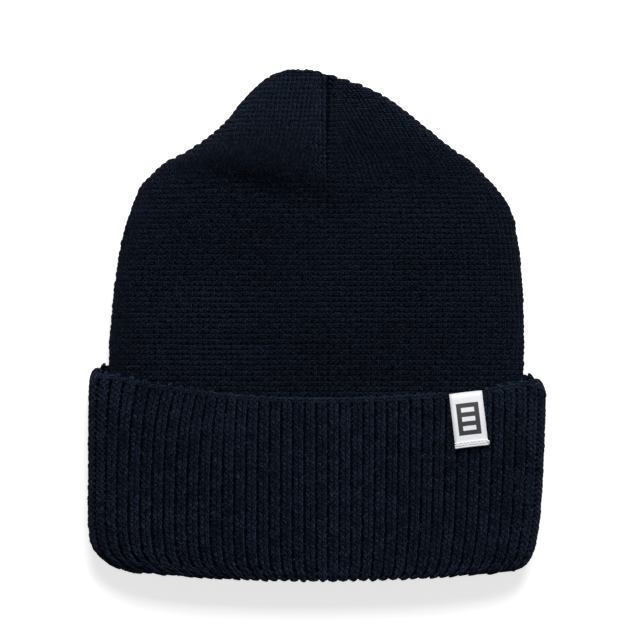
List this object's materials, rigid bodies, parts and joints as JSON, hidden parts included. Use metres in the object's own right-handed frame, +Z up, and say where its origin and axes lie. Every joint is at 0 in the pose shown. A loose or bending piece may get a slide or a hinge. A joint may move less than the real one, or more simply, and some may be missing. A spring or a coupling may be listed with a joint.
{
  "type": "knit beanie",
  "caption": "Dark navy rib-knit watch cap with a turned-up cuff, a darted crown and a small folded label on the cuff's edge, lying flat on its back.",
  "frame": {"origin": "on the surface the hat lies on, under the centre of its outline", "axes": "+Y from the mouth to the crown, +X to the hat's right as seen from above, +Z up from the surface through the front face"},
  "size_m": [0.214, 0.2426, 0.0271],
  "materials": {
    "rib_knit": "soft rib knit of plied wool and acrylic yarn, matt with a faint sheen",
    "hem_edge": "bound-off knitted edge, slightly firmer than the rib",
    "seam_thread": "overlock thread in the knit's colour",
    "label_satin": "woven satin ribbon, white",
    "label_thread": "white sewing thread"
  },
  "bodies": {
    "root": {"body_tube": "rib_knit", "under_cuff_layer": "rib_knit", "cuff_fold": "rib_knit", "cuff_band": "rib_knit", "cuff_hem": "hem_edge", "crown_gore_front_left": "rib_knit", "crown_gore_front_right": "rib_knit", "crown_gore_back_left": "rib_knit", "crown_gore_back_right": "rib_knit", "crown_seam_front": "seam_thread", "crown_seam_back": "seam_thread", "crown_seam_left": "seam_thread", "crown_seam_right": "seam_thread", "crown_closing_stitch": "seam_thread", "hem_label": "label_satin", "label_stitches": "label_thread"}
  },
  "joints": []
}
